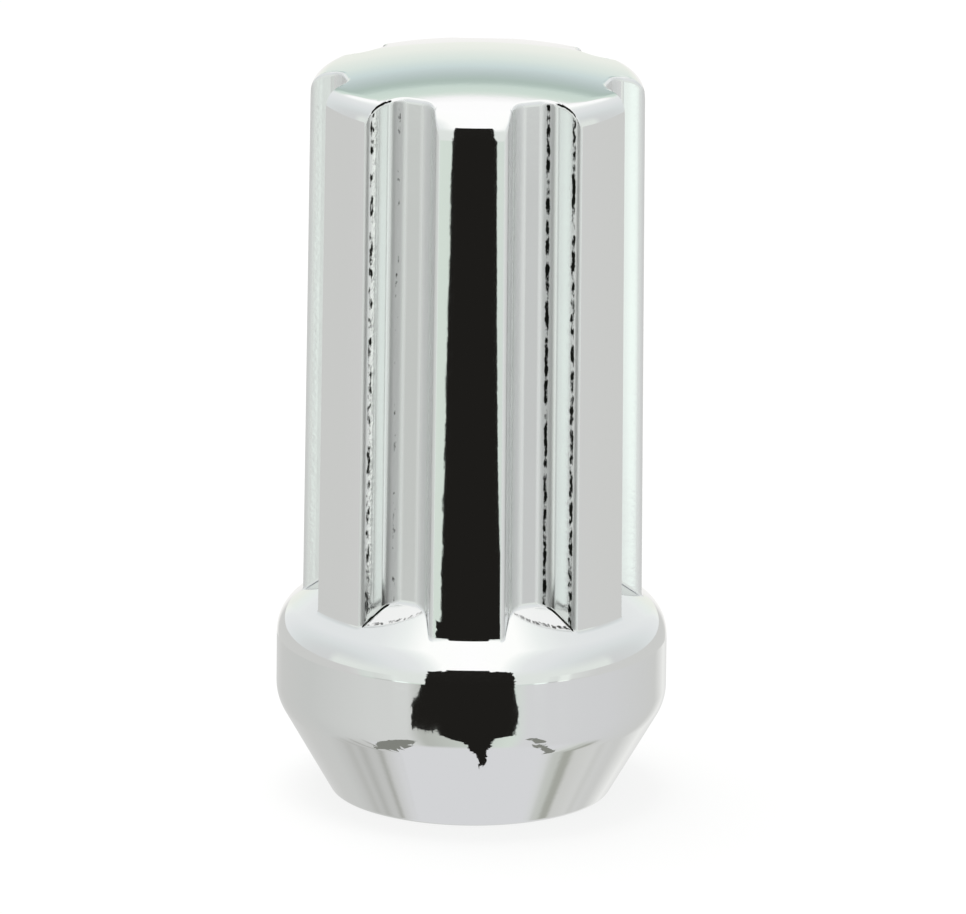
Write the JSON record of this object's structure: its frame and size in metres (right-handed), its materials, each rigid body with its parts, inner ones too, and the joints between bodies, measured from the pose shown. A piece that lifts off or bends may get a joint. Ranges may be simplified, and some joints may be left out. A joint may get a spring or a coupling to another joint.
{
  "type": "tuner lug nut",
  "caption": "Closed-end wheel nut with a conical seat, a rounded flange, a fluted splined drive, a domed end and a blind threaded bore.",
  "frame": {"origin": "middle of the flat face at the open, seat end, which is the nut's lowest face", "axes": "+Z along the nut's axis, from the open seat end to the dome; -Y towards the land that faces the viewer"},
  "size_m": [0.0264, 0.0262, 0.0508],
  "materials": {
    "chrome_plate": "polished"
  },
  "bodies": {
    "root": {"lug_nut": "chrome_plate"}
  },
  "joints": []
}
